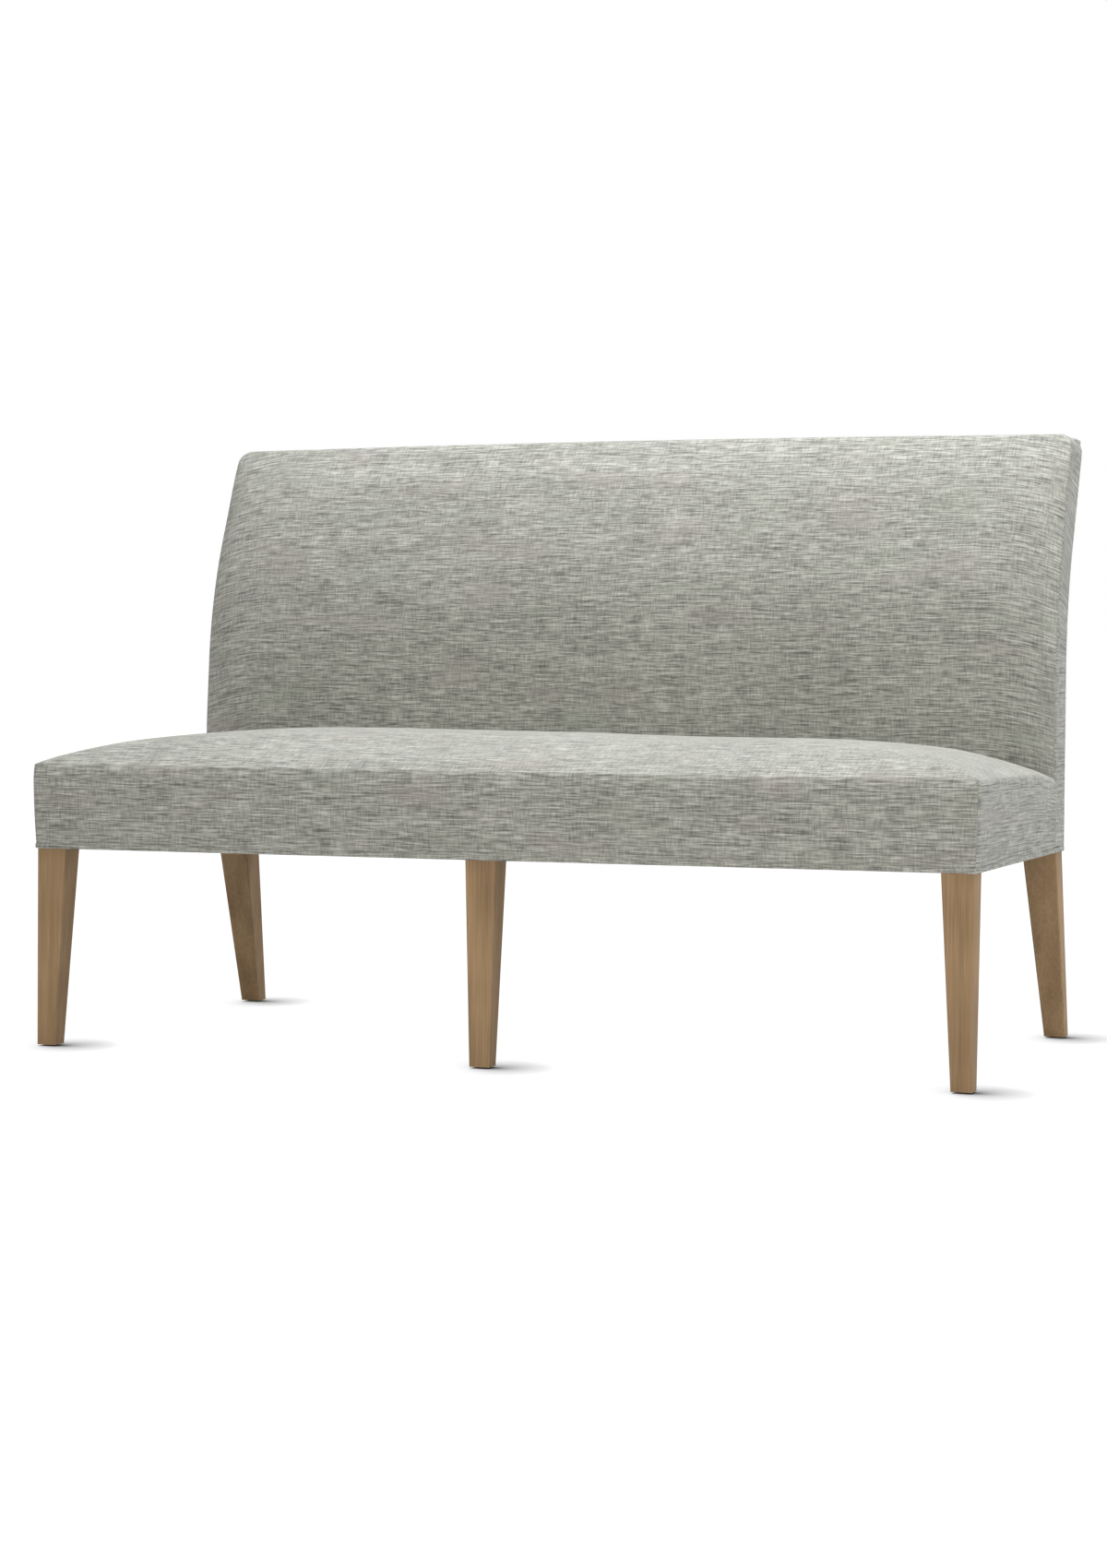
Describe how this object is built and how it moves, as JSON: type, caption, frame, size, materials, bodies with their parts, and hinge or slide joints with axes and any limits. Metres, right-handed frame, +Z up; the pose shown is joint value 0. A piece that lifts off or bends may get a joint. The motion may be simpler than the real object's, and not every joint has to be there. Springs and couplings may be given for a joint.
{
  "type": "dining banquette",
  "caption": "Armless upholstered dining banquette with a crowned sprung seat, a tall padded back that leans rearwards, and tapered wooden legs with raked rear posts.",
  "frame": {"origin": "middle of the bounding box at floor level", "axes": "+X to the right of the bench seen from the front; +Y from the seat's front towards the back; +Z up"},
  "size_m": [1.478, 0.8266, 0.976],
  "materials": {
    "leg_wood": "satin clear lacquer over greyed light-brown hardwood",
    "frame_wood": "bare sawn hardwood",
    "fastener_steel": "zinc plated",
    "webbing": "woven elastic strap",
    "hessian": "loose plain jute weave",
    "dust_cloth": "black non-woven cloth",
    "upholstery": "heathered grey-beige slub weave, matt",
    "wadding": "white bonded fibre",
    "foam": "open-cell foam, matt",
    "glide_plastic": "dark nylon"
  },
  "bodies": {
    "root": {"front_left_leg": "leg_wood", "front_right_leg": "leg_wood", "front_centre_leg": "leg_wood", "rear_left_post": "leg_wood", "rear_right_post": "leg_wood", "front_rail": "frame_wood", "rear_rail": "frame_wood", "left_side_rail": "frame_wood", "right_side_rail": "frame_wood", "left_stretcher": "frame_wood", "right_stretcher": "frame_wood", "front_left_corner_block": "frame_wood", "front_right_corner_block": "frame_wood", "rear_left_corner_block": "frame_wood", "rear_right_corner_block": "frame_wood", "lower_back_rail": "frame_wood", "top_back_rail": "frame_wood", "back_stile": "frame_wood", "centre_leg_bolts": "fastener_steel", "centre_leg_nuts": "fastener_steel", "seat_cross_webbing": "webbing", "seat_long_webbing": "webbing", "back_webbing": "webbing", "seat_hessian": "hessian", "dust_cover": "dust_cloth", "left_seat_side_cover": "upholstery", "right_seat_side_cover": "upholstery", "seat_top_cover": "upholstery", "left_back_gusset": "upholstery", "right_back_gusset": "upholstery", "outside_back_cover": "upholstery", "inside_back_cover": "upholstery", "bottom_welt": "upholstery", "seat_wadding": "wadding", "back_wadding": "wadding", "seat_foam": "foam", "back_foam": "foam", "foot_glides": "glide_plastic"}
  },
  "joints": []
}
